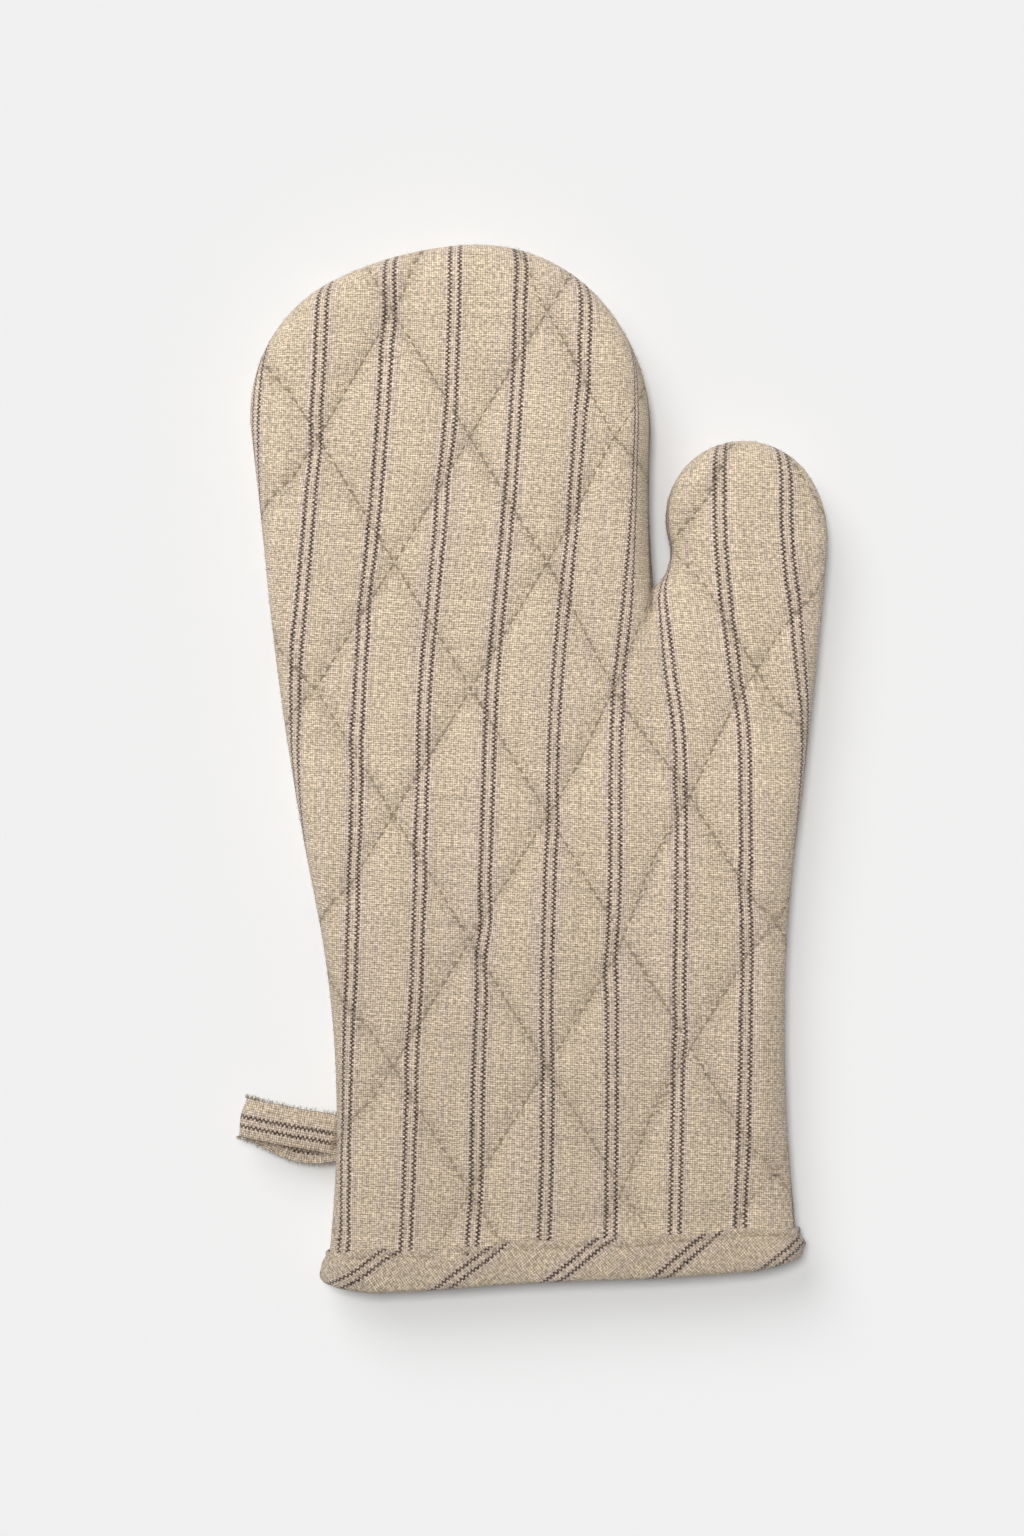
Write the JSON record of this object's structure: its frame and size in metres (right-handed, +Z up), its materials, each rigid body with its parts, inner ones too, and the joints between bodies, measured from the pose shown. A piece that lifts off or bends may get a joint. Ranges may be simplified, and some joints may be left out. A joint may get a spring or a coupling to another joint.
{
  "type": "oven mitt",
  "caption": "Quilted striped cotton oven mitt with a separate thumb, a bound cuff and a hanging loop, lying flat.",
  "frame": {"origin": "on the resting surface, under the middle of the mitt's box, loop included", "axes": "+Y from the cuff to the fingertips, +X towards the thumb, +Z up from the rear panel to the front panel"},
  "size_m": [0.1807, 0.3201, 0.024],
  "materials": {
    "shell_cotton": "matt woven cotton, beige with pairs of dark brown stripes",
    "binding_cotton": "the same cotton cut on the bias",
    "loop_cotton": "the same cotton, raw frayed edges",
    "lining_cotton": "plain unbleached cotton",
    "wadding": "fluffy cotton batting",
    "thread": "brown sewing thread",
    "overlock_thread": "pale overlock thread over raw cloth edges"
  },
  "bodies": {
    "mitt": {"front_shell": "shell_cotton", "rear_shell": "shell_cotton", "front_wadding": "wadding", "rear_wadding": "wadding", "front_lining": "lining_cotton", "rear_lining": "lining_cotton", "front_quilting_thread": "thread", "rear_quilting_thread": "thread", "side_seam_thread": "thread", "seam_overlock": "overlock_thread", "cuff_binding": "binding_cotton", "binding_stitching": "thread"},
    "thumb": {"front_shell_thumb": "shell_cotton", "rear_shell_thumb": "shell_cotton", "front_wadding_thumb": "wadding", "rear_wadding_thumb": "wadding", "front_lining_thumb": "lining_cotton", "rear_lining_thumb": "lining_cotton", "front_quilting_thread_thumb": "thread", "rear_quilting_thread_thumb": "thread", "side_seam_thread_thumb": "thread", "seam_overlock_thumb": "overlock_thread"},
    "loop": {"hanging_loop": "loop_cotton", "loop_stitching": "thread"}
  },
  "joints": [
    {"name": "thumb_fold", "type": "hinge", "parent": "mitt", "child": "thumb", "pos_m": [0.0377, 0.057, 0.024], "axis": [0.2438, -0.9698, 0], "range_deg": [0, 60], "stiffness_Nm_per_rad": 0.04},
    {"name": "loop_swing", "type": "hinge", "parent": "mitt", "child": "loop", "pos_m": [-0.0629, -0.1075, 0.012], "axis": [0, 1, 0], "range_deg": [-80, 80], "stiffness_Nm_per_rad": 0.002}
  ]
}
